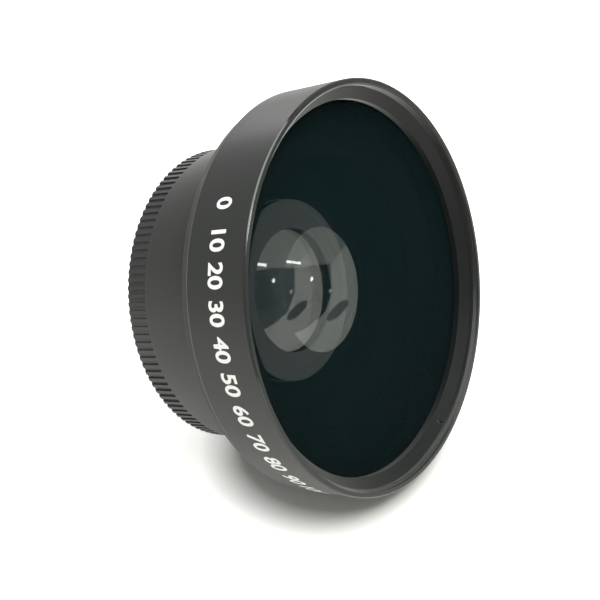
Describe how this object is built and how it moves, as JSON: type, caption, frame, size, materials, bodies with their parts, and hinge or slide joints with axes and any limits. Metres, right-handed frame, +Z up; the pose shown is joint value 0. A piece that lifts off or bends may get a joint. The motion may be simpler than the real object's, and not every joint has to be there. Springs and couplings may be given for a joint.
{
  "type": "wide-angle conversion lens",
  "caption": "Screw-on wide-angle conversion lens: stepped black barrel with a large front glass, unscrewing from a knurled macro section with a rear mounting thread.",
  "frame": {"origin": "centre of the seat behind the knurled ring, where the lens meets the camera lens that carries it", "axes": "the optical axis is Y, the front glass looks along -Y and the rear thread points along +Y; +Z is up with the axis level"},
  "size_m": [0.0744, 0.0374, 0.0746],
  "materials": {
    "black_satin": "black anodised, satin",
    "black_knurl": "black anodised, satin",
    "black_ring": "black anodised, fine turned",
    "black_inner": "matt black",
    "coated_glass": "polished, dark green-blue coating",
    "white_filling": "white paint in shallow engraving"
  },
  "bodies": {
    "macro_section": {"macro_barrel": "black_knurl", "macro_element": "coated_glass", "macro_retaining_ring": "black_ring"},
    "wide_glass": {"front_element": "coated_glass", "field_element": "coated_glass"},
    "wide_section": {"wide_barrel": "black_satin", "front_retaining_ring": "black_ring", "inner_cell": "black_inner", "field_retaining_ring": "black_inner"}
  },
  "joints": [
    {"name": "unscrew_travel", "type": "slide", "parent": "macro_section", "child": "wide_glass", "axis": [0, -1, 0], "range_m": [0, 0.00375]},
    {"name": "unscrew_turn", "type": "hinge", "parent": "wide_glass", "child": "wide_section", "pos_m": [0, 0, 0], "axis": [0, -1, 0], "range_deg": [0, 1800]}
  ],
  "couplings": [
    {"joint": "unscrew_travel", "follows": "unscrew_turn", "m_per_rad": 0.00011936}
  ]
}
